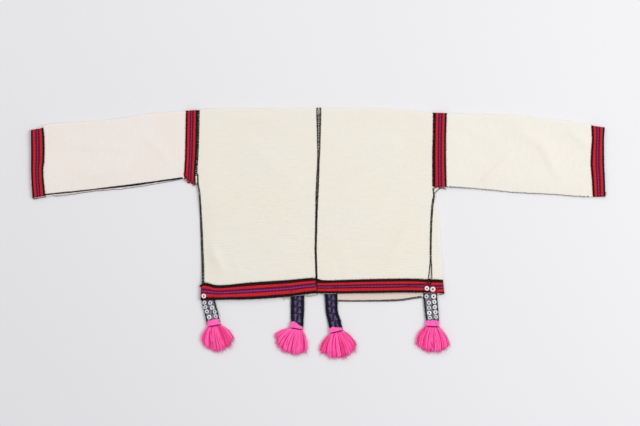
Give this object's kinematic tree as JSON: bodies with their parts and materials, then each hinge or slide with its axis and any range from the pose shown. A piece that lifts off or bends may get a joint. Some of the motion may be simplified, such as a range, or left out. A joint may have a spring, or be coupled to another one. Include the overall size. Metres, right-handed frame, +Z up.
{
  "type": "long-sleeve top",
  "caption": "Cropped long-sleeve top of cream cloth, laid flat back up, with striped tape edges, patterned hem straps, yarn tassels and shell discs.",
  "frame": {"origin": "on the floor, under the middle of the whole garment's bounding box", "axes": "+X from cuff to cuff towards the wearer's right, +Y from the hem towards the shoulder fold, +Z up from the surface on which the garment lies with its back up"},
  "size_m": [1.1984, 0.524, 0.0091],
  "materials": {
    "cloth": "matte handwoven cream cotton with fine ribs",
    "tape": "matte warp-faced tape striped red, purple and near black",
    "strap": "matte navy-black woven strap with a muted lilac diamond pattern",
    "yarn": "matte hot pink wool yarn",
    "shell": null
  },
  "bodies": {
    "root": {"body_left": "cloth", "body_right": "cloth", "sleeve_left": "cloth", "sleeve_right": "cloth", "armhole_band_left": "tape", "armhole_band_right": "tape", "cuff_band_left": "tape", "cuff_band_right": "tape", "hem_band_back_left": "tape", "hem_band_back_right": "tape", "hem_band_front_left": "tape", "hem_band_front_right": "tape", "strap_outer_left": "strap", "strap_inner_left": "strap", "strap_inner_right": "strap", "strap_outer_right": "strap", "tassel_outer_left": "yarn", "tassel_inner_left": "yarn", "tassel_inner_right": "yarn", "tassel_outer_right": "yarn", "shell_left_01": "shell", "shell_left_02": "shell", "shell_left_03": "shell", "shell_left_04": "shell", "shell_left_05": "shell", "shell_left_06": "shell", "shell_left_07": "shell", "shell_left_08": "shell", "shell_left_09": "shell", "shell_right_01": "shell", "shell_right_02": "shell", "shell_right_03": "shell", "shell_right_04": "shell", "shell_right_05": "shell", "shell_right_06": "shell", "shell_right_07": "shell", "shell_right_08": "shell", "shell_right_09": "shell", "shell_right_10": "shell", "shell_right_11": "shell", "shell_right_12": "shell"}
  },
  "joints": []
}
